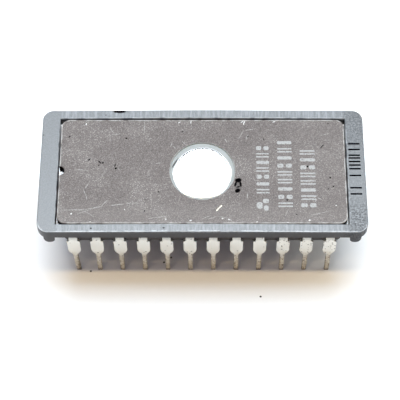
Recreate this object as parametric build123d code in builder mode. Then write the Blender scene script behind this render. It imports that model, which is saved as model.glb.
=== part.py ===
from build123d import *
import os
from math import cos, degrees, hypot, radians, sin

# A 24-lead ceramic memory chip with a round glass window, seated in a moulded guard
# frame. Millimetres. It stands on the tips of its leads, so z = 0 is the surface it
# stands on. x runs along the body from the notched end, y across the two lead rows.
# Going up: leads, ceramic base, sealing glass with the leads in it, ceramic lid, and
# round them the frame, whose rails rest on the shoulders of the leads.

os.makedirs("parts", exist_ok=True)

# The two rows of leads
leads_per_row = 12
lead_pitch = 2.54
row_shift = -0.08
lead_thickness = 0.25
tip_outer_y = 7.745
lead_top_z = 7.70
bend_radius = 0.60
splay = radians(2.3)

# Front view of one lead, with heights measured up along it from its tip
neck_width = 0.92
ear_width = 1.41
blade_width = 1.38
waist_width = 1.12
tip_width = 0.50
tip_radius = 0.12
ear_height = 6.66
taper_start = 5.17
waist_height = 4.25
taper_end = 3.79
first_tip_lean = 0.17

# The fingers that carry each lead through the glass to the edge of the cavity,
# listed from the end of the row to its middle
finger_width = 0.55
finger_start_y = 6.00
knee_y = [4.60, 5.40, 5.80, 5.90, 5.90, 5.60]
finger_end = [(4.90, 0.65), (4.90, 1.90), (4.90, 3.10), (3.25, 4.10), (1.95, 4.10), (0.65, 4.10)]

# Ceramic body
lid_length = 31.46
base_length = 30.90
body_width = 13.00
body_corner = 0.95
base_bottom_z = 4.90
base_top_z = 7.30
lid_bottom_z = 7.85
lid_top_z = 9.05
glass_inset = 0.08
lid_edge_round = 0.10
base_edge_round = 0.18
notch_radius = 0.55

# Cavity, chip of silicon and its wires
cavity_length = 9.20
cavity_width = 7.60
cavity_floor_z = 5.90
finger_window_length = 10.70
finger_window_width = 9.10
attach_length = 5.00
attach_width = 4.20
attach_thickness = 0.05
die_length = 4.60
die_width = 3.80
die_thickness = 0.45
pad = [(2.15, 0.30), (2.15, 0.90), (2.15, 1.45), (1.75, 1.75), (1.05, 1.75), (0.35, 1.75)]
wire_size = 0.04
foot_length = 0.16
foot_thickness = 0.025

# Window
window_radius = 3.57
window_rim_round = 0.06
lens_bottom_z = 8.05
lens_top_z = 8.90
lens_crown = 0.05
lens_edge_round = 0.12
shoulder_width = 0.47
shoulder_drop = 0.075

# Guard frame
frame_length = 35.68
frame_width = 15.25
frame_corner = 1.18
frame_top_z = 9.14
rail_crown = 0.16
crown_length = 32.60
rail_bottom_z = 7.92
opening_length = 31.68
opening_width = 13.15
opening_centre = (-0.012, -0.03)
ledge_length = 31.00
ledge_width = 0.60
frame_edge_round = 0.08
opening_edge_chamfer = 0.08
rib_width = 1.22
rib_centre_x = 16.58
rib_bottom_z = 6.84
nick_x = -9.28
nick_top_z = 9.20
nick_length = 1.40
nick_depth = 0.06
nick_width = 0.28

row_length = lead_pitch * (leads_per_row - 1)
lead_bottom_z = lead_top_z - lead_thickness
bend_z = lead_top_z - bend_radius
tip_lift = lead_thickness * sin(splay)
straight_length = (bend_z + bend_radius * sin(splay) - tip_lift) / cos(splay)
bend_outer_y = tip_outer_y - straight_length * sin(splay) - bend_radius * cos(splay)
bend_turn = 90 - degrees(splay)
die_bottom_z = cavity_floor_z + attach_thickness
die_top_z = die_bottom_z + die_thickness
rail_crest_z = frame_top_z + rail_crown


def lead_place(number):
    """Row (-1 front, 1 back), x of the lead, and its column from the row's end."""
    index = number - 1
    if index < leads_per_row:
        row, place = -1, index
    else:
        row, place = 1, 2 * leads_per_row - 1 - index
    x = row_shift - row_length / 2 + place * lead_pitch
    column = min(place, leads_per_row - 1 - place)
    return row, x, column


def inner_point(number, points):
    """A point of the column's list, mirrored into the lead's own quarter."""
    row, x, column = lead_place(number)
    along, across = points[column]
    return (-along if x < 0 else along, row * across)


# One stamped lead: finger, bent shoulder and blade in one piece of tinned strip
leads = {}
for number in range(1, 2 * leads_per_row + 1):
    row, x, column = lead_place(number)
    name = f"lead_{number:02d}"
    lean = first_tip_lean if number == 1 else 0
    end = inner_point(number, finger_end)
    knee = (x, row * knee_y[column])
    start = (x, row * finger_start_y)
    with BuildPart() as lead:
        with BuildSketch(Plane.YZ.offset(x)):
            with BuildLine():
                bend_y = row * bend_outer_y
                root_y = row * (finger_start_y - finger_width / 2)
                Polyline(
                    (bend_y, lead_top_z),
                    (root_y, lead_top_z),
                    (root_y, lead_bottom_z),
                    (bend_y, lead_bottom_z),
                )
                inner_bend = CenterArc((bend_y, bend_z), bend_radius - lead_thickness, 90, -row * bend_turn)
                outer_bend = CenterArc((bend_y, bend_z), bend_radius, 90, -row * bend_turn)
                Line(inner_bend @ 1, outer_bend @ 1)
            make_face()
        extrude(amount=neck_width / 2, both=True)

        outer_face = Plane(
            origin=(0, row * tip_outer_y, tip_lift),
            x_dir=(1, 0, 0),
            z_dir=(0, -cos(splay), -row * sin(splay)),
        )
        with BuildSketch(outer_face) as blade:
            with BuildLine():
                Polyline(
                    (x - tip_width / 2, taper_end),
                    (x - tip_width / 2 + lean, 0),
                    (x + tip_width / 2 + lean, 0),
                    (x + tip_width / 2, taper_end),
                )
                ThreePointArc(
                    (x + tip_width / 2, taper_end),
                    (x + waist_width / 2, waist_height),
                    (x + blade_width / 2, taper_start),
                )
                Polyline(
                    (x + blade_width / 2, taper_start),
                    (x + ear_width / 2, ear_height),
                    (x + neck_width / 2, ear_height),
                    (x + neck_width / 2, straight_length),
                    (x - neck_width / 2, straight_length),
                    (x - neck_width / 2, ear_height),
                    (x - ear_width / 2, ear_height),
                    (x - blade_width / 2, taper_start),
                )
                ThreePointArc(
                    (x - blade_width / 2, taper_start),
                    (x - waist_width / 2, waist_height),
                    (x - tip_width / 2, taper_end),
                )
            make_face()
            fillet(blade.vertices().group_by(Axis.Y)[0], radius=tip_radius)
        extrude(amount=row * lead_thickness)

        with BuildSketch(Plane.XY.offset(lead_bottom_z)):
            for near, far in ((start, knee), (knee, end)):
                middle = ((near[0] + far[0]) / 2, (near[1] + far[1]) / 2)
                SlotCenterPoint(middle, far, finger_width)
        extrude(amount=lead_thickness)
    lead.part.label = name
    leads[name] = lead.part
    export_step(lead.part, f"parts/{name}.step")

# Pressed ceramic base with the cavity for the silicon and half of the index notch
with BuildPart() as ceramic_base:
    with BuildSketch(Plane.XY.offset(base_bottom_z)):
        RectangleRounded(base_length, body_width, body_corner)
        with Locations((-lid_length / 2, 0)):
            Circle(notch_radius, mode=Mode.SUBTRACT)
    extrude(amount=base_top_z - base_bottom_z)
    fillet(ceramic_base.faces().sort_by(Axis.Z)[0].outer_wire().edges(), radius=base_edge_round)
    with BuildSketch(Plane.XY.offset(cavity_floor_z)):
        RectangleRounded(cavity_length, cavity_width, finger_width)
    extrude(amount=base_top_z - cavity_floor_z, mode=Mode.SUBTRACT)
ceramic_base.part.label = "ceramic_base"
export_step(ceramic_base.part, "parts/ceramic_base.step")

# Sealing glass, flowed between base and lid and round every lead. Over the finger
# ends it stands back, so that the wires can reach them.
with BuildPart() as seal_glass:
    with BuildSketch(Plane.XY.offset(base_top_z)):
        RectangleRounded(base_length - 2 * glass_inset, body_width - 2 * glass_inset, body_corner)
        with Locations((-lid_length / 2, 0)):
            Circle(notch_radius + glass_inset, mode=Mode.SUBTRACT)
        RectangleRounded(cavity_length, cavity_width, finger_width, mode=Mode.SUBTRACT)
    extrude(amount=lid_bottom_z - base_top_z)
    with BuildSketch(Plane.XY.offset(lead_top_z)):
        RectangleRounded(finger_window_length, finger_window_width, finger_width)
    extrude(amount=lid_bottom_z - lead_top_z, mode=Mode.SUBTRACT)
    for lead_part in leads.values():
        add(lead_part, mode=Mode.SUBTRACT)
seal_glass.part.label = "seal_glass"
export_step(seal_glass.part, "parts/seal_glass.step")

# Ceramic lid with the round hole of the window and the index notch
with BuildPart() as ceramic_lid:
    with BuildSketch(Plane.XY.offset(lid_bottom_z)):
        RectangleRounded(lid_length, body_width, body_corner)
        with Locations((-lid_length / 2, 0)):
            Circle(notch_radius, mode=Mode.SUBTRACT)
    extrude(amount=lid_top_z - lid_bottom_z)
    fillet(ceramic_lid.faces().sort_by(Axis.Z)[-1].outer_wire().edges(), radius=lid_edge_round)
    with BuildSketch(Plane.XY.offset(lid_bottom_z)):
        Circle(window_radius)
    extrude(amount=lid_top_z - lid_bottom_z, mode=Mode.SUBTRACT)
    window_rim = ceramic_lid.edges().filter_by(GeomType.CIRCLE).sort_by(SortBy.RADIUS)[-2:]
    fillet(window_rim.sort_by(Axis.Z)[-1], radius=window_rim_round)
ceramic_lid.part.label = "ceramic_lid"
export_step(ceramic_lid.part, "parts/ceramic_lid.step")

# Window glass, fused into the hole of the lid, with a low crown on top and a shoulder
# that falls away gently to its rim
with BuildPart() as window_lens:
    with BuildSketch(Plane.XY.offset(lens_bottom_z)):
        Circle(window_radius)
    extrude(amount=lens_top_z + lens_crown - lens_bottom_z)
    crown_radius = (window_radius**2 + lens_crown**2) / (2 * lens_crown)
    with Locations((0, 0, lens_top_z + lens_crown - crown_radius)):
        Sphere(crown_radius, mode=Mode.INTERSECT)
    crown_face = window_lens.faces().sort_by(Axis.Z)[-1]
    chamfer(crown_face.edges(), length=shoulder_width, length2=shoulder_drop, reference=crown_face)
    fillet(window_lens.edges().filter_by(GeomType.CIRCLE).sort_by(Axis.Z)[0], radius=lens_edge_round)
window_lens.part.label = "window_lens"
export_step(window_lens.part, "parts/window_lens.step")

# Gold solder layer that holds the silicon to the floor of the cavity
with BuildPart() as die_attach:
    with BuildSketch(Plane.XY.offset(cavity_floor_z)):
        Rectangle(attach_length, attach_width)
    extrude(amount=attach_thickness)
die_attach.part.label = "die_attach"
export_step(die_attach.part, "parts/die_attach.step")

# The silicon itself
with BuildPart() as silicon_die:
    with BuildSketch(Plane.XY.offset(die_bottom_z)):
        Rectangle(die_length, die_width)
    extrude(amount=die_thickness)
silicon_die.part.label = "silicon_die"
export_step(silicon_die.part, "parts/silicon_die.step")

# One drawn wire from a pad of the silicon to its finger, a flattened foot at each end
for number in range(1, 2 * leads_per_row + 1):
    name = f"bond_wire_{number:02d}"
    pad_x, pad_y = inner_point(number, pad)
    finger_x, finger_y = inner_point(number, finger_end)
    span = hypot(finger_x - pad_x, finger_y - pad_y)
    along = ((finger_x - pad_x) / span, (finger_y - pad_y) / span, 0)
    wire_plane = Plane(origin=(pad_x, pad_y, 0), x_dir=along, z_dir=(along[1], -along[0], 0))
    with BuildPart() as bond_wire:
        with BuildSketch(wire_plane):
            with BuildLine():
                loop = Polyline(
                    (0, die_top_z + wire_size / 2),
                    (0.10, die_top_z + 0.30),
                    (0.30 * span, die_top_z + 0.72),
                    (span - 0.60, lead_top_z - 0.10),
                    (span - 0.28, lead_top_z + 0.075),
                    (span, lead_top_z + wire_size / 2),
                )
            trace(loop, line_width=wire_size)
            with Locations((0, die_top_z + foot_thickness / 2), (span, lead_top_z + foot_thickness / 2)):
                Rectangle(foot_length, foot_thickness)
        extrude(amount=wire_size / 2, both=True)
    bond_wire.part.label = name
    export_step(bond_wire.part, f"parts/{name}.step")

# Half-round rib under each end bar of the frame, trimmed to the frame's outline
with BuildPart() as end_ribs:
    with BuildSketch(Plane.XY.offset(rib_bottom_z)):
        RectangleRounded(frame_length, frame_width, frame_corner)
    extrude(amount=rail_bottom_z - rib_bottom_z)
    with BuildSketch(Plane.XZ):
        with Locations((-rib_centre_x, rib_bottom_z), (rib_centre_x, rib_bottom_z)):
            with Locations((0, rib_width / 2)):
                Circle(rib_width / 2)
            with Locations((0, rib_width)):
                Rectangle(rib_width, rib_width)
    extrude(amount=frame_width, both=True, mode=Mode.INTERSECT)

# Moulded guard frame: end bars with a flat top, rails whose top is slightly crowned
# between them, a ledge under each rail that rests on the lead shoulders, and a rib
# under each end bar. The front rail has a shallow nick worn in its top edge.
with BuildPart() as carrier_frame:
    with BuildSketch(Plane.XY.offset(rail_bottom_z)):
        RectangleRounded(frame_length, frame_width, frame_corner)
    extrude(amount=rail_crest_z - rail_bottom_z)
    with BuildSketch(Plane.XZ.offset(-frame_width)):
        with BuildLine():
            Spline(
                (-crown_length / 2, frame_top_z),
                (0, rail_crest_z),
                (crown_length / 2, frame_top_z),
                tangents=((1, 0), (1, 0)),
            )
            Polyline(
                (crown_length / 2, frame_top_z),
                (frame_length / 2, frame_top_z),
                (frame_length / 2, rail_bottom_z),
                (-frame_length / 2, rail_bottom_z),
                (-frame_length / 2, frame_top_z),
                (-crown_length / 2, frame_top_z),
            )
        make_face()
    extrude(amount=2 * frame_width, mode=Mode.INTERSECT)
    top_edges = carrier_frame.edges().filter_by_position(Axis.Z, frame_top_z, rail_crest_z)
    seams = top_edges.filter_by(Axis.Y).filter_by_position(Axis.X, -crown_length / 2, crown_length / 2)
    fillet(top_edges - seams, radius=frame_edge_round)
    with BuildSketch(Plane.XY.offset(rail_bottom_z)):
        with Locations(opening_centre):
            Rectangle(opening_length, opening_width)
    extrude(amount=rail_crest_z - rail_bottom_z, mode=Mode.SUBTRACT)
    inner_rim = carrier_frame.edges(Select.LAST).filter_by_position(Axis.Z, frame_top_z, rail_crest_z)
    chamfer(inner_rim, length=opening_edge_chamfer)
    with BuildSketch(Plane.XY.offset(lead_top_z)):
        with Locations(opening_centre):
            with GridLocations(0, opening_width + ledge_width, 1, 2):
                Rectangle(ledge_length, ledge_width)
    extrude(amount=rail_bottom_z - lead_top_z)
    add(end_ribs.part)
    nick_radius = (nick_length**2 / 4 + nick_depth**2) / (2 * nick_depth)
    with BuildSketch(Plane.XZ.offset(-frame_width / 2)):
        with Locations((nick_x, nick_top_z - nick_depth + nick_radius)):
            Circle(nick_radius)
    extrude(amount=nick_width, mode=Mode.SUBTRACT)
carrier_frame.part.label = "carrier_frame"
export_step(carrier_frame.part, "parts/carrier_frame.step")
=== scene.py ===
import math

import bpy
from mathutils import Matrix, Vector


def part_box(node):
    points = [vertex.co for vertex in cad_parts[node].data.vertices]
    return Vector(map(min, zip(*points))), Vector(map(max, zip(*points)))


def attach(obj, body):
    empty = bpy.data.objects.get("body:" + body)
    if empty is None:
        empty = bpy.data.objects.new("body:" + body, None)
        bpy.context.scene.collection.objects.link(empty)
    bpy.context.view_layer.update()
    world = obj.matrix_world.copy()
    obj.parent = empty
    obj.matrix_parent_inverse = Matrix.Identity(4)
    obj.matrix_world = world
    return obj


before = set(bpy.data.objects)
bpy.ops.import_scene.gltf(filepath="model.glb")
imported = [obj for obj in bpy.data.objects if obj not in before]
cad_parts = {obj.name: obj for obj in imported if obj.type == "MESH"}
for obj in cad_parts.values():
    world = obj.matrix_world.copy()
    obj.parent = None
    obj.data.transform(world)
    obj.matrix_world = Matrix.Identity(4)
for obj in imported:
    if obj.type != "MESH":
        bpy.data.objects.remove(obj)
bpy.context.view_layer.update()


# Ceramic base. The lower half of the package is a block of pressed and fired alumina
# with a cavity for the silicon. It is left as it comes from the kiln: matt, grey brown,
# with a fine grain of lighter and darker crystals. The base is given a darker copy of
# this ceramic as painted shade, since it lies in shadow under the rails.
mm = 0.001
ceramic_colour = (0.066, 0.050, 0.046, 1)
ceramic_dark_grain = (0.020, 0.015, 0.014, 1)
ceramic_light_grain = (0.27, 0.25, 0.235, 1)
ceramic_grain_size = 0.11
ceramic_light_share = 0.30


def node(tree, kind, sockets, **settings):
    """A shader node. Each socket is given a value, or an output that is wired to it."""
    made = tree.nodes.new("ShaderNode" + kind)
    for setting, value in settings.items():
        setattr(made, setting, value)
    for name, value in sockets.items():
        if isinstance(value, bpy.types.NodeSocket):
            tree.links.new(value, made.inputs[name])
        else:
            made.inputs[name].default_value = value
    return made


def math_of(tree, operation, first, second=0.0):
    """The output of a Math node."""
    return node(tree, "Math", {0: first, 1: second}, operation=operation).outputs[0]


def blend_of(tree, share, first, second):
    """The first colour where the share is 0, the second where it is 1."""
    return node(tree, "Mix", {0: share, 6: first, 7: second}, data_type="RGBA").outputs[2]


def step_of(tree, value, start, end):
    """0 where the value is at its start, 1 at its end, smooth between."""
    sockets = {"Value": value, "From Min": start, "From Max": end}
    return node(tree, "MapRange", sockets, interpolation_type="SMOOTHSTEP").outputs[0]


def place_in_mm(tree):
    """Where the shaded point is on the part, in millimetres."""
    place = node(tree, "TexCoord", {}).outputs["Object"]
    return node(tree, "VectorMath", {0: place, "Scale": 1 / mm}, operation="SCALE").outputs[0]


def noise_of(tree, place, size, detail=2.0, roughness=0.5):
    """Cloudy noise from 0 to 1, whose blobs are about as large as the size in millimetres."""
    sockets = {"Vector": place, "Scale": 1 / size, "Detail": detail, "Roughness": roughness}
    return node(tree, "TexNoise", sockets).outputs["Fac"]


def ragged_place(tree, place, size, amount):
    """The place, pushed about a little so that the edge of a mark isn't smooth."""
    push = node(tree, "TexNoise", {"Vector": place, "Scale": 1 / size, "Detail": 2.0}).outputs["Color"]
    centred = node(tree, "VectorMath", {0: push, 1: (0.5, 0.5, 0.5)}, operation="SUBTRACT").outputs[0]
    scaled = node(tree, "VectorMath", {0: centred, "Scale": amount}, operation="SCALE").outputs[0]
    return node(tree, "VectorMath", {0: place, 1: scaled}, operation="ADD").outputs[0]


def effect(name, takes, gives):
    """A node group with named sockets, and the sockets that it works from and to."""
    group = bpy.data.node_groups.new(name, "ShaderNodeTree")
    for socket, value in takes.items():
        kind = {float: "NodeSocketFloat", Vector: "NodeSocketVector", tuple: "NodeSocketColor"}[type(value)]
        group.interface.new_socket(name=socket, in_out="INPUT", socket_type=kind).default_value = value
    for socket, kind in gives.items():
        group.interface.new_socket(name=socket, in_out="OUTPUT", socket_type=kind)
    return group, group.nodes.new("NodeGroupInput").outputs, group.nodes.new("NodeGroupOutput").inputs


def use(tree, group, sockets):
    """The outputs of an effect placed in a material with its own values."""
    return node(tree, "Group", sockets, node_tree=group).outputs


def finish_named(name):
    """A new material, its node tree and its shader."""
    material = bpy.data.materials.new(name)
    material.use_nodes = True
    return material, material.node_tree, material.node_tree.nodes["Principled BSDF"]


def emboss(tree, shader, height, strength, depth):
    """Makes the finish uneven by that height pattern, as deep as the depth in millimetres."""
    bump = node(tree, "Bump", {"Height": height, "Strength": strength, "Distance": depth * mm})
    tree.links.new(bump.outputs["Normal"], shader.inputs["Normal"])


def coat(material, *pieces):
    """Gives the pieces, or the CAD nodes of those names, that one material."""
    for piece in pieces:
        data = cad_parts[piece].data if isinstance(piece, str) else piece.data
        data.materials.clear()
        data.materials.append(material)


fired_grain, takes, gives = effect(
    "fired grain",
    {
        "Body": ceramic_colour,
        "Dark Grain": ceramic_dark_grain,
        "Light Grain": ceramic_light_grain,
        "Grain Size": ceramic_grain_size,
        "Light Share": ceramic_light_share,
    },
    {"Colour": "NodeSocketColor", "Height": "NodeSocketFloat"},
)
tree = fired_grain
place = place_in_mm(tree)
cloud = noise_of(tree, place, 3.5, 3.0)
per_grain = math_of(tree, "DIVIDE", 1.0, takes["Grain Size"])
sockets = {"Vector": place, "Scale": per_grain, "Detail": 3.0, "Roughness": 0.75}
grain = node(tree, "TexNoise", sockets).outputs["Fac"]
crystal = node(tree, "TexVoronoi", {"Vector": place, "Scale": per_grain, "Randomness": 1.0})
lucky = node(tree, "SeparateColor", {0: crystal.outputs["Color"]}).outputs[0]
rare = math_of(tree, "GREATER_THAN", lucky, math_of(tree, "SUBTRACT", 1.0, takes["Light Share"]))
flake = math_of(tree, "MULTIPLY", rare, step_of(tree, crystal.outputs["Distance"], 0.55, 0.15))
brightness = math_of(tree, "MULTIPLY", lucky, step_of(tree, cloud, 0.25, 0.75))
light_grain = math_of(tree, "MULTIPLY", step_of(tree, grain, 0.50, 0.76), 0.48)
light_cloud = math_of(tree, "MULTIPLY", step_of(tree, cloud, 0.45, 0.75), 0.10)
body = blend_of(tree, step_of(tree, grain, 0.56, 0.30), takes["Body"], takes["Dark Grain"])
for share in (light_grain, light_cloud, math_of(tree, "MULTIPLY", flake, brightness)):
    body = blend_of(tree, share, body, takes["Light Grain"])
tree.links.new(body, gives["Colour"])
tree.links.new(math_of(tree, "ADD", grain, flake), gives["Height"])

shaded_base_finish, tree, shader = finish_named("fired ceramic base in painted shade")
# A darker body and fewer pale crystals than the lid: painted shade, not a different ceramic
sockets = {"Body": (0.030, 0.026, 0.024, 1), "Light Grain": (0.13, 0.12, 0.11, 1), "Light Share": 0.12}
fired = use(tree, fired_grain, sockets)
tree.links.new(fired["Colour"], shader.inputs["Base Color"])
emboss(tree, shader, fired["Height"], 0.4, 0.01)
shader.inputs["Roughness"].default_value = 0.62
coat(shaded_base_finish, "ceramic_base")


# Silicon and its gold solder. The chip of silicon is soldered to the floor of the cavity
# with a thin gold layer. Its face shows the square blocks of the memory cells, a lane
# between them and the pads round the edge.
silicon_colour = (0.16, 0.15, 0.22, 1)
cell_colour = (0.30, 0.26, 0.20, 1)
pad_colour = (0.75, 0.75, 0.74, 1)
cell_block_size = 0.92
bare_border = 0.30
pad_spacing = 0.30
pad_inset = 0.15
pad_width = 0.11
pad_length = 0.18

silicon_finish, tree, shader = finish_named("polished silicon with its cells")
place = place_in_mm(tree)
blocks = node(
    tree,
    "TexBrick",
    {
        "Vector": place,
        "Color1": cell_colour,
        "Color2": (0.24, 0.22, 0.26, 1),
        "Mortar": silicon_colour,
        "Scale": 1.0,
        "Mortar Size": 0.035,
        "Brick Width": cell_block_size,
        "Row Height": cell_block_size,
    },
    offset=0.0,
)
lines = node(tree, "TexWave", {"Vector": place, "Scale": 6.0}, bands_direction="Y").outputs["Fac"]
cells = blend_of(tree, math_of(tree, "MULTIPLY", lines, 0.35), blocks.outputs["Color"], silicon_colour)
die_low, die_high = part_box("silicon_die")
half_length = (die_high.x - die_low.x) / 2 / mm
half_width = (die_high.y - die_low.y) / 2 / mm
across = node(tree, "SeparateXYZ", {0: place}).outputs
to_end = math_of(tree, "SUBTRACT", half_length, math_of(tree, "ABSOLUTE", across[0]))
to_side = math_of(tree, "SUBTRACT", half_width, math_of(tree, "ABSOLUTE", across[1]))
to_edge = math_of(tree, "MINIMUM", to_end, to_side)
off_pads = math_of(tree, "ABSOLUTE", math_of(tree, "SUBTRACT", to_edge, pad_inset))
in_ring = math_of(tree, "LESS_THAN", off_pads, pad_width / 2)
along_x = math_of(tree, "PINGPONG", across[0], pad_spacing / 2)
along_y = math_of(tree, "PINGPONG", across[1], pad_spacing / 2)
in_step = math_of(tree, "LESS_THAN", math_of(tree, "MAXIMUM", along_x, along_y), pad_length / 2)
outside_cells = step_of(tree, to_edge, bare_border, bare_border - 0.03)
bare = blend_of(tree, outside_cells, cells, silicon_colour)
face = blend_of(tree, math_of(tree, "MULTIPLY", in_ring, in_step), bare, pad_colour)
tree.links.new(face, shader.inputs["Base Color"])
shader.inputs["Metallic"].default_value = 0.85
shader.inputs["Roughness"].default_value = 0.12
coat(silicon_finish, "silicon_die")

solder_finish, tree, shader = finish_named("gold solder")
place = place_in_mm(tree)
ripple = noise_of(tree, place, 0.35, 3.0)
gold = blend_of(tree, ripple, (0.62, 0.40, 0.13, 1), (0.86, 0.62, 0.27, 1))
tree.links.new(gold, shader.inputs["Base Color"])
emboss(tree, shader, ripple, 0.5, 0.02)
shader.inputs["Metallic"].default_value = 1.0
shader.inputs["Roughness"].default_value = 0.28
coat(solder_finish, "die_attach")


# Leads. Each is one stamped and bent strip of iron-nickel, dipped in tin. The tin is
# dull and faintly yellow, with black flecks where it has worn through near the right-hand
# end. The narrow part, which has been pushed into sockets, is painted browner, partly for
# scuffing and partly as a painted reflection of the warm shaded floor in front. The tips
# are painted dark as a reflection of the shadow, the narrow part is darker along its
# edges, and the top of each lead is painted dark as the shade under the rail.
tin_colour = (0.74, 0.73, 0.685, 1)
tin_scuff_and_reflection_colour = (0.50, 0.45, 0.37, 1)
tin_dirt_and_shade_colour = (0.10, 0.08, 0.06, 1)
lead_pitch = 2.54
lead_row_shift = -0.08
tin_fleck_size = 0.24
lead_names = sorted(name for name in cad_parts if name.startswith("lead_"))

tin_finish, tree, shader = finish_named("dull tin on the leads")
place = place_in_mm(tree)
sides = node(tree, "SeparateXYZ", {0: place}).outputs
along, height = sides[0], sides[2]
scuff = noise_of(tree, place, 0.30, 4.0, 0.65)
# Browner low part: partly scuffed tin, partly a painted reflection of the warm shaded floor
low_part = step_of(tree, math_of(tree, "ADD", height, math_of(tree, "MULTIPLY", scuff, 1.6)), 5.6, 3.6)
brown = math_of(tree, "MULTIPLY", low_part, step_of(tree, scuff, 0.15, 0.65))
# Darker towards the tips: a painted reflection of the shadowed floor
tip_reflection_shade = step_of(tree, math_of(tree, "ADD", height, scuff), 1.1, 0.35)
from_first_gap = math_of(tree, "SUBTRACT", along, lead_row_shift + lead_pitch / 2)
from_middle = math_of(tree, "PINGPONG", from_first_gap, lead_pitch / 2)
# Darker along the edges of the narrow part
narrow_part = step_of(tree, height, 3.9, 3.2)
darker_edge = math_of(tree, "MULTIPLY", narrow_part, step_of(tree, from_middle, 0.13, 0.26))
darker_edge = math_of(tree, "MULTIPLY", darker_edge, step_of(tree, scuff, 0.30, 0.60))
# Painted shade on the top of each lead, where the rail above shadows it
shade_under_rail = step_of(tree, math_of(tree, "ADD", height, math_of(tree, "MULTIPLY", scuff, 0.4)), 6.9, 7.7)
worn_end = step_of(tree, along, 6.5, 11.0)
fleck_share = math_of(tree, "MULTIPLY", worn_end, 0.42)
fleck_share = math_of(tree, "ADD", fleck_share, math_of(tree, "MULTIPLY", low_part, 0.22))
sockets = {"Vector": ragged_place(tree, place, 0.10, 0.20), "Scale": 1 / tin_fleck_size}
fleck = node(tree, "TexVoronoi", sockets)
lucky = node(tree, "SeparateColor", {0: fleck.outputs["Color"]}).outputs[0]
chosen = math_of(tree, "LESS_THAN", lucky, math_of(tree, "ADD", 0.03, fleck_share))
black = math_of(tree, "MULTIPLY", chosen, step_of(tree, fleck.outputs["Distance"], 0.44, 0.26))
tinned = blend_of(tree, brown, tin_colour, tin_scuff_and_reflection_colour)
for darkening, strength in ((tip_reflection_shade, 0.8), (darker_edge, 0.8), (shade_under_rail, 0.6), (black, 0.95)):
    tinned = blend_of(tree, math_of(tree, "MULTIPLY", darkening, strength), tinned, tin_dirt_and_shade_colour)
tree.links.new(tinned, shader.inputs["Base Color"])
emboss(tree, shader, scuff, 0.35, 0.02)
dulled = math_of(tree, "ADD", 0.42, math_of(tree, "MULTIPLY", brown, 0.15))
tree.links.new(dulled, shader.inputs["Roughness"])
clean = math_of(tree, "SUBTRACT", 1.0, math_of(tree, "MULTIPLY", black, 0.9))
tree.links.new(clean, shader.inputs["Metallic"])
coat(tin_finish, *lead_names)


# Bond wires. A drawn aluminium wire joins each pad of the silicon to the end of its
# lead, pressed flat at both ends by the bonding tool.
wire_finish, tree, shader = finish_named("drawn aluminium wire")
place = place_in_mm(tree)
drawn = noise_of(tree, place, 0.06, 2.0)
aluminium = blend_of(tree, drawn, (0.72, 0.72, 0.73, 1), (0.90, 0.90, 0.90, 1))
tree.links.new(aluminium, shader.inputs["Base Color"])
shader.inputs["Metallic"].default_value = 1.0
shader.inputs["Roughness"].default_value = 0.25
coat(wire_finish, *(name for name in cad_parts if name.startswith("bond_wire_")))


# Sealing glass. A dark lead glass paste is fired between base and lid and flows round
# every lead. It cools to a glossy skin with small bubbles in it.
seal_finish, tree, shader = finish_named("dark sealing glass")
place = place_in_mm(tree)
flow = noise_of(tree, place, 0.8, 3.0)
bubble = node(tree, "TexVoronoi", {"Vector": place, "Scale": 4.0}).outputs["Distance"]
pit = step_of(tree, bubble, 0.16, 0.05)
dark_glass = blend_of(tree, flow, (0.030, 0.028, 0.026, 1), (0.075, 0.068, 0.060, 1))
tree.links.new(dark_glass, shader.inputs["Base Color"])
surface = math_of(tree, "SUBTRACT", flow, pit)
emboss(tree, shader, surface, 0.6, 0.04)
shader.inputs["Roughness"].default_value = 0.18
coat(seal_finish, "seal_glass")


# Ceramic lid. The same fired alumina as the base, with the round hole of the window and
# the index notch. Years of handling have left pits filled with dirt, pale chips, most
# of them near the long edges, fine scratches, and a pale worn line round its outline,
# which is partly wear and partly a painted highlight. A pale ring round the hole is a
# painted highlight, the hole's wall is painted paler as painted light, and the notch and
# the sides of the lid are painted black as shade.
lid_low, lid_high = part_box("ceramic_lid")
lid_corner = 0.95
chip_and_highlight_colour = (0.46, 0.455, 0.44, 1)
pit_and_shade_colour = (0.004, 0.004, 0.005, 1)
scratch_colour = (0.21, 0.20, 0.19, 1)
wall_frit_and_light_colour = (0.50, 0.52, 0.51, 1)
hole_radius = 3.57
notch_foot_depth = 0.85
notch_reach = 0.90

# Each mark of the lid is x, y, length, width and turn, in millimetres and degrees
pits = [
    (-14.79, 4.30, 0.26, 0.16, 20),
    (-12.48, 1.37, 0.30, 0.16, 35),
    (-11.30, 1.07, 0.50, 0.15, -50),
    (-10.98, 0.98, 0.28, 0.16, 10),
    (-11.40, 0.66, 0.22, 0.12, 40),
    (-9.60, 0.62, 0.46, 0.12, 70),
    (-9.52, 0.28, 0.30, 0.22, 50),
    (-8.46, 4.09, 0.26, 0.16, 0),
    (-6.25, -4.94, 0.28, 0.12, 90),
    (-6.21, -3.51, 0.18, 0.14, 0),
    (-4.78, -2.64, 0.22, 0.16, 30),
    (-2.24, 4.95, 0.18, 0.14, 0),
    (5.01, 4.32, 0.22, 0.14, 45),
    (6.78, 3.98, 0.18, 0.14, 0),
    (9.24, -3.63, 0.24, 0.18, 10),
    (10.19, -5.41, 0.16, 0.14, 0),
    (11.53, 0.52, 0.22, 0.18, 0),
    (13.23, 3.07, 0.62, 0.14, 48),
    (13.72, -2.27, 0.24, 0.12, 20),
    (13.98, -0.87, 0.22, 0.16, 0),
    (14.00, 6.00, 0.18, 0.12, 0),
    (14.30, -1.97, 0.26, 0.14, 30),
]
blot = [
    (3.92, -1.20, 0.74, 0.56, 8),
    (3.62, -1.66, 0.66, 0.24, 76),
    (4.18, -1.68, 0.72, 0.24, 100),
    (3.90, -2.02, 0.44, 0.18, 20),
    (3.84, -2.48, 0.66, 0.50, 30),
]
blot_grey = [(3.90, -1.86, 0.72, 1.30, 0)]
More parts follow.
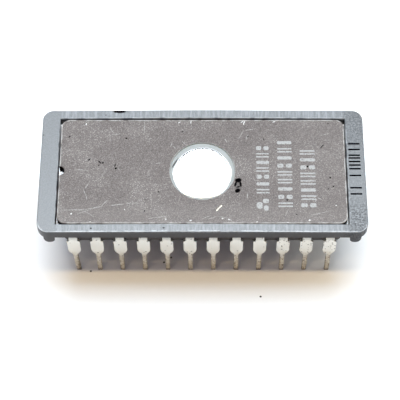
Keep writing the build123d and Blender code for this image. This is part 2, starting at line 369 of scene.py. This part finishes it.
chips = [
    (-14.16, -5.31, 0.22, 0.14, 40),
    (-12.98, 5.93, 0.26, 0.09, 60),
    (-12.09, -6.28, 0.12, 0.10, 0),
    (-8.41, -4.80, 0.12, 0.10, 0),
    (-3.94, -5.97, 0.15, 0.11, 0),
    (-2.60, 6.14, 0.28, 0.08, 40),
    (-1.29, 6.20, 0.46, 0.11, 85),
    (-1.26, -6.12, 0.24, 0.15, 30),
    (2.18, -5.89, 0.30, 0.07, 20),
    (2.90, -6.00, 0.30, 0.09, -40),
    (4.44, 6.24, 0.48, 0.10, 35),
    (4.62, 6.06, 0.56, 0.10, 75),
    (5.88, -6.29, 0.24, 0.09, 20),
    (7.98, 6.22, 0.38, 0.10, 30),
    (9.22, -6.37, 0.20, 0.08, 0),
    (11.58, -6.09, 0.26, 0.16, 15),
    (14.50, -4.30, 0.12, 0.10, 0),
]
scratches = [
    (-13.80, -4.84, 2.90, 0.11, 1),
    (-11.80, -4.62, 2.20, 0.12, 13),
    (-10.60, -4.00, 1.00, 0.11, 48),
    (-9.30, -4.22, 1.80, 0.10, 8),
    (-7.60, -4.02, 1.40, 0.08, 4),
    (-12.85, -2.62, 0.80, 0.06, 112),
    (-12.62, -3.25, 0.80, 0.06, 104),
    (-12.60, -1.90, 0.70, 0.09, 60),
    (-12.90, -5.10, 1.60, 0.08, 20),
    (-12.10, -5.40, 1.10, 0.08, -35),
    (-6.46, 5.60, 2.10, 0.08, 89),
    (-9.70, 4.60, 1.30, 0.07, 8),
    (-10.10, 5.10, 0.90, 0.07, -50),
    (-13.20, 0.10, 1.60, 0.09, -8),
    (-2.06, 3.48, 0.70, 0.09, -38),
    (-3.45, 3.30, 0.70, 0.10, 75),
    (-3.10, 2.95, 0.55, 0.10, -40),
    (-4.80, 0.95, 0.80, 0.08, 10),
    (-4.80, -5.75, 2.40, 0.09, 8),
    (0.40, -5.75, 1.20, 0.08, 24),
    (1.10, -5.80, 1.10, 0.10, 18),
    (2.20, -5.72, 1.20, 0.10, -10),
    (3.10, -6.10, 0.60, 0.09, -60),
    (4.89, -3.11, 0.80, 0.11, 84),
    (4.30, 4.60, 1.40, 0.08, 62),
    (4.90, 4.20, 0.80, 0.09, 80),
    (5.20, 5.20, 1.10, 0.07, 10),
    (2.60, 3.80, 0.60, 0.09, -60),
    (9.10, -5.20, 0.90, 0.07, 70),
    (12.30, -3.20, 0.60, 0.12, 30),
    (12.76, -3.50, 0.55, 0.12, -20),
    (12.30, -3.75, 0.50, 0.10, 60),
    (13.60, 4.60, 1.30, 0.06, 15),
    (12.50, -5.30, 2.60, 0.07, 14),
    (14.10, -5.60, 1.00, 0.08, -30),
]
small_mark, takes, gives = effect(
    "small mark",
    {"Place": Vector(), "Centre": Vector(), "Half Size": Vector((1, 1, 1)), "Turn": 0.0},
    {"Mask": "NodeSocketFloat"},
)
tree = small_mark
offset = node(tree, "VectorMath", {0: takes["Place"], 1: takes["Centre"]}, operation="SUBTRACT").outputs[0]
sockets = {"Vector": offset, "Angle": takes["Turn"]}
turned = node(tree, "VectorRotate", sockets, rotation_type="Z_AXIS").outputs[0]
scaled = node(tree, "VectorMath", {0: turned, 1: takes["Half Size"]}, operation="DIVIDE").outputs[0]
reach = node(tree, "VectorMath", {0: scaled}, operation="LENGTH").outputs["Value"]
tree.links.new(step_of(tree, reach, 1.15, 0.70), gives["Mask"])

# A pale band along an outline: partly wear, partly painted highlight where an edge catches the light
outline_wear_and_highlight, takes, gives = effect(
    "outline wear and highlight",
    {"Half Length": 1.0, "Half Width": 1.0, "Corner": 0.5, "Reach": 0.1},
    {"Mask": "NodeSocketFloat", "Inside": "NodeSocketFloat"},
)
tree = outline_wear_and_highlight
place = place_in_mm(tree)
core = node(
    tree,
    "CombineXYZ",
    {
        0: math_of(tree, "SUBTRACT", takes["Half Length"], takes["Corner"]),
        1: math_of(tree, "SUBTRACT", takes["Half Width"], takes["Corner"]),
        2: 1000.0,
    },
).outputs[0]
folded = node(tree, "VectorMath", {0: place}, operation="ABSOLUTE").outputs[0]
beyond = node(tree, "VectorMath", {0: folded, 1: core}, operation="SUBTRACT").outputs[0]
outer = node(tree, "VectorMath", {0: beyond, 1: (0, 0, 0)}, operation="MAXIMUM").outputs[0]
round_part = node(tree, "VectorMath", {0: outer}, operation="LENGTH").outputs["Value"]
parts = node(tree, "SeparateXYZ", {0: beyond}).outputs
flat_part = math_of(tree, "MINIMUM", math_of(tree, "MAXIMUM", parts[0], parts[1]), 0.0)
inside = math_of(tree, "SUBTRACT", takes["Corner"], math_of(tree, "ADD", round_part, flat_part))
ragged = math_of(tree, "MULTIPLY", noise_of(tree, place, 0.35, 4.0, 0.7), 2.0)
ragged = math_of(tree, "MULTIPLY", takes["Reach"], ragged)
near = math_of(tree, "DIVIDE", math_of(tree, "ABSOLUTE", inside), ragged)
patchy = step_of(tree, noise_of(tree, place, 1.3, 2.0), 0.34, 0.56)
tree.links.new(math_of(tree, "MULTIPLY", patchy, step_of(tree, near, 1.2, 0.5)), gives["Mask"])
tree.links.new(inside, gives["Inside"])


def marks_of(tree, place, marks, level, depth=0.5):
    """One mask of all the marks in the list, on the face at that level."""
    mask = 0.0
    for x, y, length, width, turn in marks:
        sockets = {
            "Place": place,
            "Centre": (x, y, level),
            "Half Size": (length / 2, width / 2, depth),
            "Turn": -math.radians(turn),
        }
        mask = math_of(tree, "MAXIMUM", mask, use(tree, small_mark, sockets)["Mask"])
    return mask


def radius_of(tree, place):
    """How far the shaded point is from the axis of the window, in millimetres."""
    level_place = node(tree, "VectorMath", {0: place, 1: (1, 1, 0)}, operation="MULTIPLY").outputs[0]
    return node(tree, "VectorMath", {0: level_place}, operation="LENGTH").outputs["Value"]


lid_finish, tree, shader = finish_named("fired ceramic lid with its wear")
place = place_in_mm(tree)
lid_level = lid_high.z / mm
fired = use(tree, fired_grain, {})
rough_place = ragged_place(tree, place, 0.12, 0.16)
grain_tops = step_of(tree, fired["Height"], 0.30, 0.60)
scratch = math_of(tree, "MULTIPLY", marks_of(tree, rough_place, scratches, lid_level), grain_tops)
sides = node(tree, "SeparateXYZ", {0: place}).outputs
paler_right = math_of(tree, "MULTIPLY", step_of(tree, sides[0], 7.0, 11.0), 0.05)
paler_front = math_of(tree, "MULTIPLY", step_of(tree, sides[1], -3.2, -5.4), 0.10)
paler = math_of(tree, "MAXIMUM", paler_right, paler_front)
face = blend_of(tree, paler, fired["Colour"], ceramic_light_grain)
face = blend_of(tree, scratch, face, scratch_colour)
sockets = {
    "Half Length": (lid_high.x - lid_low.x) / 2 / mm,
    "Half Width": (lid_high.y - lid_low.y) / 2 / mm,
    "Corner": lid_corner,
    "Reach": 0.16,
}
# Pale outline of the lid: partly wear, partly a painted highlight of its rounded edge
wear_and_highlight = use(tree, outline_wear_and_highlight, sockets)["Mask"]
face = blend_of(tree, math_of(tree, "MULTIPLY", wear_and_highlight, 0.55), face, chip_and_highlight_colour)
radius = radius_of(tree, place)
# Pale patchy ring round the hole: a painted highlight of its rim
off_rim = math_of(tree, "ABSOLUTE", math_of(tree, "SUBTRACT", radius, hole_radius + 0.04))
rim_patches = step_of(tree, noise_of(tree, place, 0.9), 0.44, 0.60)
rim_highlight = math_of(tree, "MULTIPLY", step_of(tree, off_rim, 0.06, 0.02), rim_patches)
face = blend_of(tree, math_of(tree, "MULTIPLY", rim_highlight, 0.20), face, chip_and_highlight_colour)
# The hole's wall is frit, painted paler than the frit as painted light
on_wall = step_of(tree, radius, hole_radius + 0.03, hole_radius + 0.01)
face = blend_of(tree, on_wall, face, wall_frit_and_light_colour)
chip = marks_of(tree, rough_place, chips, lid_level)
face = blend_of(tree, chip, face, chip_and_highlight_colour)
smudge = marks_of(tree, rough_place, blot_grey, lid_level)
smudge = math_of(tree, "MULTIPLY", smudge, grain_tops)
face = blend_of(tree, math_of(tree, "MULTIPLY", smudge, 0.85), face, ceramic_dark_grain)
# The notch and the lid's sides below its top are painted black: painted shade in the notch and in the gaps
# round the lid
notch_foot = (lid_low.x / mm, 0, lid_level - notch_foot_depth)
from_notch = node(tree, "VectorMath", {0: place, 1: notch_foot}, operation="SUBTRACT").outputs[0]
notch_distance = node(tree, "VectorMath", {0: from_notch}, operation="LENGTH").outputs["Value"]
notch_shade = step_of(tree, notch_distance, notch_reach + 0.12, notch_reach)
torn = marks_of(tree, rough_place, pits + blot, lid_level)
off_window = step_of(tree, radius, hole_radius + 0.5, hole_radius + 1.0)
below_top = step_of(tree, sides[2], lid_level - 0.10, lid_level - 0.25)
shaded_side = math_of(tree, "MULTIPLY", off_window, below_top)
pits_and_shade = math_of(tree, "MAXIMUM", math_of(tree, "MAXIMUM", torn, notch_shade), shaded_side)
face = blend_of(tree, pits_and_shade, face, pit_and_shade_colour)
tree.links.new(face, shader.inputs["Base Color"])
tree.links.new(pits_and_shade, shader.inputs["Metallic"])
relief = math_of(tree, "SUBTRACT", math_of(tree, "MULTIPLY", fired["Height"], 0.3), pits_and_shade)
emboss(tree, shader, relief, 0.5, 0.02)
low_grain = step_of(tree, fired["Height"], 0.70, 0.30)
matt = math_of(tree, "ADD", 0.58, math_of(tree, "MULTIPLY", low_grain, 0.10))
matt = math_of(tree, "ADD", matt, math_of(tree, "MULTIPLY", pits_and_shade, 0.42))
tree.links.new(matt, shader.inputs["Roughness"])
coat(lid_finish, "ceramic_lid")


# Stamped marks on the lid. Pale ink is stamped on the ceramic with a rubber pad. Three
# columns of plain marks run across the body: 1 stands for a thick bar, 2 for a pair of
# thin bars, 3 for a pair of blocks. Three more blocks stand before the first column.
ink_thickness = 0.006
ink_colour = (0.215, 0.215, 0.21, 1)
thin_bar = 0.18
thick_bar = 0.40
pair_offset = 0.19
block_depth = 0.5
block_share = 0.42
block_offset_share = 0.29
bar_columns = [
    (6.61, -3.00, 3.28, 1.40, (2, 1, 3, 2, 1, 2, 3)),
    (9.03, -4.70, 4.02, 1.60, (2, 3, 1, 2, 2, 3, 1, 2, 1)),
    (11.54, -4.75, 2.76, 1.66, (3, 2, 1, 2, 2, 3, 1, 2)),
]
block_marks = [(6.22, -4.30, 0.66, 0.80), (6.92, -4.62, 0.52, 0.66), (6.90, -3.74, 0.66, 0.50)]


def clear_selection():
    """Leaves nothing selected, so that an operator acts on the new piece alone."""
    if bpy.context.object and bpy.context.object.mode != "OBJECT":
        bpy.ops.object.mode_set(mode="OBJECT")
    bpy.ops.object.select_all(action="DESELECT")


def stamped_stroke(x, y, length, width, turn, level):
    """One stroke of ink: a thin plate with round corners, laid on the face at that level."""
    clear_selection()
    bpy.ops.mesh.primitive_plane_add(size=1, location=(0, 0, 0))
    stroke = bpy.context.object
    bpy.ops.object.mode_set(mode="EDIT")
    bpy.ops.transform.resize(value=(length * mm, width * mm, 1))
    bpy.ops.mesh.bevel(offset=0.35 * width * mm, segments=3, affect="VERTICES")
    bpy.ops.mesh.select_all(action="SELECT")
    bpy.ops.mesh.extrude_region_move(TRANSFORM_OT_translate={"value": (0, 0, ink_thickness * mm)})
    bpy.ops.mesh.select_all(action="SELECT")
    bpy.ops.mesh.normals_make_consistent(inside=False)
    bpy.ops.object.mode_set(mode="OBJECT")
    turned = Matrix.Translation((x * mm, y * mm, level)) @ Matrix.Rotation(math.radians(turn), 4, "Z")
    stroke.data.transform(turned)
    return stroke


def joined(pieces, name):
    """The pieces as one piece of that name, at the origin."""
    clear_selection()
    for piece in pieces:
        piece.select_set(True)
    bpy.context.view_layer.objects.active = pieces[0]
    bpy.ops.object.join()
    whole = bpy.context.object
    whole.name = whole.data.name = name
    return whole


strokes = [stamped_stroke(x, y, length, width, 0, lid_high.z) for x, y, length, width in block_marks]
for column_x, start_y, end_y, column_width, cells in bar_columns:
    cell_pitch = (end_y - start_y) / len(cells)
    for place_in_column, kind in enumerate(cells):
        y = start_y + (place_in_column + 0.5) * cell_pitch
        if kind == 1:
            strokes.append(stamped_stroke(column_x, y, column_width, thick_bar, 0, lid_high.z))
        elif kind == 2:
            for bar_y in (y - pair_offset, y + pair_offset):
                strokes.append(stamped_stroke(column_x, bar_y, column_width, thin_bar, 0, lid_high.z))
        else:
            for side in (-1, 1):
                block_x = column_x + side * block_offset_share * column_width
                block_length = block_share * column_width
                strokes.append(stamped_stroke(block_x, y, block_length, block_depth, 0, lid_high.z))
lid_marks = joined(strokes, "lid_ink_marks")

ink_finish, tree, shader = finish_named("pale stamping ink")
place = place_in_mm(tree)
fired = use(tree, fired_grain, {})
rubbed = step_of(tree, noise_of(tree, place, 0.16, 3.0, 0.7), 0.47, 0.33)
tree.links.new(blend_of(tree, rubbed, ink_colour, fired["Colour"]), shader.inputs["Base Color"])
shader.inputs["Roughness"].default_value = 0.55
coat(ink_finish, lid_marks)
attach(lid_marks, "root")


# Fibre on the lid. One short cream fibre, of paper or dried glue, has stuck to the
# ceramic in front of the window.
fibre_path = [(1.55, -4.94), (1.78, -4.64), (2.11, -4.31)]
fibre_width = 0.13
strand_overlap = 0.06
strands = []
for (x0, y0), (x1, y1) in zip(fibre_path, fibre_path[1:]):
    strand_length = math.hypot(x1 - x0, y1 - y0) + strand_overlap
    strand_turn = math.degrees(math.atan2(y1 - y0, x1 - x0))
    middle_x, middle_y = (x0 + x1) / 2, (y0 + y1) / 2
    strands.append(stamped_stroke(middle_x, middle_y, strand_length, fibre_width, strand_turn, lid_high.z))
fibre_piece = joined(strands, "stuck_fibre")
fibre_finish, tree, shader = finish_named("cream fibre")
place = place_in_mm(tree)
strand = noise_of(tree, place, 0.10, 2.0)
cream = blend_of(tree, strand, (0.62, 0.58, 0.44, 1), (0.86, 0.83, 0.70, 1))
tree.links.new(cream, shader.inputs["Base Color"])
shader.inputs["Roughness"].default_value = 0.8
coat(fibre_finish, fibre_piece)
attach(fibre_piece, "root")


# Window. A disc of clear dense glass is fused into the hole of the lid, so that
# ultraviolet light can reach the silicon. A ring of pale green-grey frit bonds its
# shoulder to the ceramic, with a gap in it on the left. The gap and the inner edge of
# the ring are painted dark as shade.
lens_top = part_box("window_lens")[1].z
frit_colour = (0.33, 0.345, 0.34, 1)
frit_inner_radius = 2.88
frit_thickness = 0.04
frit_rounding = 0.012
frit_steps = 128
frit_tilt = math.radians(10.5)
frit_middle = ((hole_radius + frit_inner_radius) / 2 * mm, 0, lens_top - 0.045 * mm)
frit_gap = (-3.04, 1.00, 1.45, 0.18, 61)

lens_finish, tree, shader = finish_named("clear window")
place = place_in_mm(tree)
haze = noise_of(tree, place, 1.2, 3.0)
clear = blend_of(tree, haze, (0.96, 0.99, 0.97, 1), (0.99, 1.0, 0.995, 1))
tree.links.new(clear, shader.inputs["Base Color"])
shader.inputs["Roughness"].default_value = 0.0
shader.inputs["IOR"].default_value = 1.77
shader.inputs["Transmission Weight"].default_value = 1.0
coat(lens_finish, "window_lens")

clear_selection()
bpy.ops.mesh.primitive_plane_add(size=1, location=(0, 0, 0), rotation=(math.pi / 2, 0, 0))
frit = bpy.context.object
bpy.ops.object.transform_apply(location=True, rotation=True, scale=True)
bpy.ops.object.mode_set(mode="EDIT")
ring_width = hole_radius - frit_inner_radius
bpy.ops.transform.resize(value=(ring_width * mm, 1, frit_thickness * mm))
bpy.ops.transform.translate(value=frit_middle)
bpy.ops.transform.rotate(value=-frit_tilt, orient_axis="Y", center_override=frit_middle)
bpy.ops.mesh.bevel(offset=frit_rounding * mm, segments=2, affect="VERTICES")
bpy.ops.mesh.select_all(action="SELECT")
bpy.ops.mesh.spin(steps=frit_steps, angle=2 * math.pi, center=(0, 0, 0), axis=(0, 0, 1))
bpy.ops.mesh.select_all(action="SELECT")
bpy.ops.mesh.remove_doubles(threshold=0.0001 * mm)
bpy.ops.mesh.normals_make_consistent(inside=False)
bpy.ops.object.mode_set(mode="OBJECT")
bpy.ops.object.shade_smooth_by_angle(angle=math.radians(30))
frit.name = frit.data.name = "window_frit_ring"

frit_finish, tree, shader = finish_named("pale glass frit")
place = place_in_mm(tree)
milky = noise_of(tree, place, 0.5, 3.0)
face = blend_of(tree, milky, (0.25, 0.265, 0.26, 1), frit_colour)
radius = radius_of(tree, place)
# Painted shade along the inner edge of the ring
inner_shade_line = step_of(tree, radius, frit_inner_radius + 0.12, frit_inner_radius + 0.04)
face = blend_of(tree, math_of(tree, "MULTIPLY", inner_shade_line, 0.6), face, (0.16, 0.15, 0.20, 1))
# The gap in the frit, painted dark as its shade
gap_shade = marks_of(tree, ragged_place(tree, place, 0.3, 0.08), [frit_gap], lens_top / mm)
tree.links.new(blend_of(tree, gap_shade, face, (0.06, 0.06, 0.06, 1)), shader.inputs["Base Color"])
shader.inputs["Roughness"].default_value = 0.05
shader.inputs["IOR"].default_value = 1.77
coat(frit_finish, frit)
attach(frit, "root")


# Guard frame. It is moulded in one piece from grey filled plastic and pushed over the
# lid until its rails sit on the shoulders of the leads. Its faces are satin, streaked
# across the rails, mottled on the right-hand bar, and pale where its edges are worn.
# Its sides are painted darker as shade, the pale streaks on the rail tops are partly a
# painted sheen, the inner edges of the opening carry a painted highlight, and the nick
# in the back rail is painted black.
frame_low, frame_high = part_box("carrier_frame")
frame_corner = 1.18
bar_top = 9.14
opening_half = (15.84, 6.575)
plastic_colour = (0.060, 0.066, 0.073, 1)
plastic_dark = (0.030, 0.033, 0.038, 1)
plastic_light_and_sheen = (0.16, 0.172, 0.186, 1)
plastic_side_shade = (0.024, 0.023, 0.026, 1)
plastic_edge_wear_and_highlight = (0.24, 0.25, 0.26, 1)
scar_centre = (-9.28, 7.50, 9.20)

frame_finish, tree, shader = finish_named("grey moulded guard plastic")
place = place_in_mm(tree)
across = node(tree, "SeparateXYZ", {0: place}).outputs
grain = noise_of(tree, place, 0.16, 3.0, 0.7)
stretched = node(tree, "VectorMath", {0: place, 1: (1, 0.12, 0.3)}, operation="MULTIPLY").outputs[0]
drawn = noise_of(tree, stretched, 0.28, 3.0, 0.6)
on_top = step_of(tree, across[2], bar_top - 0.14, bar_top - 0.10)
on_rail = math_of(tree, "MULTIPLY", on_top, step_of(tree, math_of(tree, "ABSOLUTE", across[0]), 16.1, 15.6))
streaks = math_of(tree, "MULTIPLY", on_rail, drawn)
cloud = noise_of(tree, place, 0.19, 3.0, 0.7)
right_end = step_of(tree, across[0], 14.6, 16.2)
from_marks = math_of(tree, "ABSOLUTE", math_of(tree, "ADD", across[1], 0.8))
off_marks = step_of(tree, from_marks, 1.5, 5.5)
patches = math_of(tree, "ADD", 0.35, math_of(tree, "MULTIPLY", off_marks, 0.65))
patches = math_of(tree, "MULTIPLY", right_end, patches)
mottle = math_of(tree, "MULTIPLY", patches, step_of(tree, cloud, 0.58, 0.38))
speckle = math_of(tree, "MULTIPLY", patches, step_of(tree, cloud, 0.54, 0.70))
body = blend_of(tree, step_of(tree, grain, 0.72, 0.30), plastic_colour, plastic_dark)
# The sides are painted darker than the top: painted shade
on_side = step_of(tree, on_top, 1.0, 0.0)
body = blend_of(tree, on_side, body, plastic_side_shade)
# Pale streaks on the rail tops: partly moulding streaks, partly a painted sheen
pale_streaks_and_sheen = math_of(tree, "MULTIPLY", step_of(tree, streaks, 0.40, 0.75), 0.55)
body = blend_of(tree, pale_streaks_and_sheen, body, plastic_light_and_sheen)
body = blend_of(tree, math_of(tree, "MULTIPLY", mottle, 0.7), body, plastic_dark)
body = blend_of(tree, math_of(tree, "MULTIPLY", speckle, 0.22), body, plastic_light_and_sheen)
sockets = {
    "Half Length": (frame_high.x - frame_low.x) / 2 / mm,
    "Half Width": (frame_high.y - frame_low.y) / 2 / mm,
    "Corner": frame_corner,
    "Reach": 0.20,
}
outline = use(tree, outline_wear_and_highlight, sockets)
in_front = step_of(tree, across[1], -6.0, -7.2)
off_face = step_of(tree, outline["Inside"], 0.02, 0.06)
rubbing = step_of(tree, noise_of(tree, place, 0.8, 3.0), 0.42, 0.56)
rubbing = math_of(tree, "ADD", 0.35, math_of(tree, "MULTIPLY", rubbing, 0.65))
at_rim = math_of(tree, "MULTIPLY", step_of(tree, outline["Inside"], 0.13, 0.08), rubbing)
at_rim = math_of(tree, "MAXIMUM", at_rim, outline["Mask"])
wear_and_highlight = math_of(tree, "MULTIPLY", math_of(tree, "MULTIPLY", at_rim, off_face), in_front)
# Pale line round the inner edge of the opening: a painted highlight
sockets = {"Half Length": opening_half[0], "Half Width": opening_half[1], "Corner": 0.01, "Reach": 0.13}
inner_edge_highlight = use(tree, outline_wear_and_highlight, sockets)["Mask"]
wear_and_highlight = math_of(tree, "MAXIMUM", wear_and_highlight, math_of(tree, "MULTIPLY", inner_edge_highlight, 0.6))
wear_and_highlight = math_of(tree, "MULTIPLY", wear_and_highlight, on_top)
body = blend_of(tree, wear_and_highlight, body, plastic_edge_wear_and_highlight)
# The nick in the back rail and a few specks are painted black
rough_place = ragged_place(tree, place, 0.2, 0.12)
sockets = {"Place": rough_place, "Centre": scar_centre, "Half Size": (0.72, 0.24, 0.80)}
scar = use(tree, small_mark, sockets)["Mask"]
specks = [
    (-11.95, -7.12, 0.20, 0.18, 0),
    (-4.14, -7.12, 0.24, 0.20, 0),
    (-17.66, 4.47, 0.20, 0.14, 0),
    (-10.81, 7.01, 0.16, 0.14, 0),
]
black_marks = math_of(tree, "MAXIMUM", scar, marks_of(tree, rough_place, specks, bar_top))
body = blend_of(tree, black_marks, body, (0.006, 0.005, 0.008, 1))
tree.links.new(body, shader.inputs["Base Color"])
glossless = math_of(tree, "MAXIMUM", black_marks, math_of(tree, "MULTIPLY", on_side, 0.45))
tree.links.new(glossless, shader.inputs["Metallic"])
relief = math_of(tree, "SUBTRACT", streaks, mottle)
relief = math_of(tree, "ADD", math_of(tree, "MULTIPLY", grain, 0.5), relief)
emboss(tree, shader, relief, 0.22, 0.012)
satin = 0.28
for pattern, amount in ((grain, 0.20), (mottle, 0.33), (black_marks, 0.6)):
    satin = math_of(tree, "ADD", satin, math_of(tree, "MULTIPLY", pattern, amount))
tree.links.new(satin, shader.inputs["Roughness"])
coat(frame_finish, "carrier_frame")


# Stamped marks on the right-hand bar of the frame, in thin dark ink: plain short bars
# across it, in groups.
bar_mark_x = 16.72
bar_mark_length = 1.30
bar_mark_width = 0.20
bar_mark_sink = 0.002
dark_ink_colour = (0.006, 0.006, 0.010, 1)
bar_mark_groups = [(3.34, 1.89, 3), (1.54, 0.65, 3), (0.19, -0.65, 2), (-2.17, -2.93, 2)]
bar_strokes = []
level = (bar_top - bar_mark_sink) * mm
for first_y, last_y, count in bar_mark_groups:
    for bar in range(count):
        y = first_y + (last_y - first_y) * bar / (count - 1)
        bar_strokes.append(stamped_stroke(bar_mark_x, y, bar_mark_length, bar_mark_width, 0, level))
bar_marks = joined(bar_strokes, "frame_ink_marks")
dark_ink_finish, tree, shader = finish_named("dark stamping ink")
place = place_in_mm(tree)
rubbed = step_of(tree, noise_of(tree, place, 0.14, 3.0, 0.7), 0.34, 0.22)
tree.links.new(blend_of(tree, rubbed, dark_ink_colour, (0.10, 0.11, 0.12, 1)), shader.inputs["Base Color"])
shader.inputs["Roughness"].default_value = 1.0
shader.inputs["Metallic"].default_value = 1.0
coat(dark_ink_finish, bar_marks)
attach(bar_marks, "root")


# Floor. A sheet of plain white paper under the chip, far larger than the view, with a
# few black crumbs that have fallen from the leads.
crumbs = [
    (-12.60, -7.94, 0.24, 0.22, 0),
    (6.48, -11.05, 0.26, 0.24, 0),
    (-3.57, -6.23, 0.24, 0.22, 0),
    (-4.36, -6.83, 0.26, 0.20, 0),
]
clear_selection()
bpy.ops.mesh.primitive_plane_add(size=4.0, location=(0, 0, 0))
floor = bpy.context.object
floor.name = "paper_floor"
paper_finish, tree, shader = finish_named("white paper")
place = place_in_mm(tree)
fibre = noise_of(tree, place, 0.9, 4.0, 0.6)
paper = blend_of(tree, fibre, (0.79, 0.79, 0.79, 1), (0.81, 0.81, 0.81, 1))
crumb = marks_of(tree, ragged_place(tree, place, 0.1, 0.1), crumbs, 0.0)
tree.links.new(blend_of(tree, crumb, paper, (0.01, 0.01, 0.01, 1)), shader.inputs["Base Color"])
shader.inputs["Roughness"].default_value = 0.9
shader.inputs["Specular IOR Level"].default_value = 0.1
coat(paper_finish, floor)


# Light. A large cool softbox hangs over the far side, where the window mirrors it, with a
# pale card beyond each end of the chip. A narrow warm strip hangs straight overhead, a
# small warm lamp stands high in front on the left, and the room adds a little.
def panel(name, height, x_range, y_range, radiance, colour):
    """A level light panel. The ranges are multiples of its height over the floor."""
    length = (x_range[1] - x_range[0]) * height
    width = (y_range[1] - y_range[0]) * height
    light = bpy.data.lights.new(name, "AREA")
    light.shape = "RECTANGLE"
    light.size = length
    light.size_y = width
    light.energy = radiance * length * width * 4
    light.color = colour
    lamp = bpy.data.objects.new(name, light)
    lamp.location = (sum(x_range) / 2 * height, sum(y_range) / 2 * height, height)
    bpy.context.scene.collection.objects.link(lamp)
    return lamp


unmirrored = [
    panel("softbox_near", 1.02, (-0.50, 0.50), (0.16, 0.45), 7.6, (0.61, 0.79, 1.0)),
    panel("softbox_far", 1.04, (-0.50, 0.50), (0.45, 0.95), 9.8, (0.79, 0.90, 1.0)),
    panel("card_left", 1.06, (-2.60, -0.50), (-0.10, 1.00), 0.6, (0.90, 1.0, 0.98)),
    panel("card_right", 1.06, (0.50, 2.60), (-0.10, 1.00), 1.7, (0.93, 1.0, 0.90)),
]
mirrored = panel("softbox_as_mirrored", 1.00, (-0.47, 0.42), (0.03, 0.62), 13.0, (0.88, 0.95, 1.0))
panel("warm_strip", 0.98, (-0.38, 0.36), (0.0, 0.05), 26.3, (1.0, 0.76, 0.41))
for lamp in unmirrored:
    lamp.visible_glossy = False
mirrored.visible_diffuse = False

front_light = bpy.data.lights.new("front_lamp", "AREA")
front_light.shape = "DISK"
front_light.size = 0.13
front_light.energy = 0.37
front_light.color = (1.0, 0.80, 0.58)
front_lamp = bpy.data.objects.new("front_lamp", front_light)
front_lamp.location = (-0.16, -0.17, 0.65)
front_lamp.rotation_euler = (-front_lamp.location).to_track_quat("-Z", "Y").to_euler()
bpy.context.scene.collection.objects.link(front_lamp)

room_light_colour = (0.28, 0.245, 0.265, 1)
room_wall_colour = (0.86, 0.87, 0.88, 1)
room = bpy.data.worlds.new("room")
room.use_nodes = True
seen = node(room.node_tree, "LightPath", {}).outputs["Is Camera Ray"]
backdrop = blend_of(room.node_tree, seen, room_light_colour, room_wall_colour)
room.node_tree.links.new(backdrop, room.node_tree.nodes["Background"].inputs["Color"])
bpy.context.scene.world = room
bpy.context.scene.view_settings.view_transform = "Standard"
bpy.context.scene.view_settings.look = "None"


# Camera, where the photographer stood: in front of the chip and high above it, with a
# long lens.
camera_azimuth = math.radians(0.927)
camera_elevation = math.radians(62.27)
camera_roll = math.radians(-0.816)
camera_distance = 162.49 * mm
camera_aim = Vector((-0.277, -2.032, 6.0)) * mm
camera = bpy.data.cameras.new("camera")
camera.lens = 131.92
camera.sensor_width = 36.0
camera.clip_start = 1 * mm
camera.clip_end = 10.0
camera_object = bpy.data.objects.new("camera", camera)
turn = (
    Matrix.Rotation(camera_azimuth, 4, "Z")
    @ Matrix.Rotation(math.pi / 2 - camera_elevation, 4, "X")
    @ Matrix.Rotation(camera_roll, 4, "Z")
)
back = turn.to_3x3() @ Vector((0, 0, 1))
camera_object.matrix_world = Matrix.Translation(camera_aim + back * camera_distance) @ turn
bpy.context.scene.collection.objects.link(camera_object)
bpy.context.scene.camera = camera_object
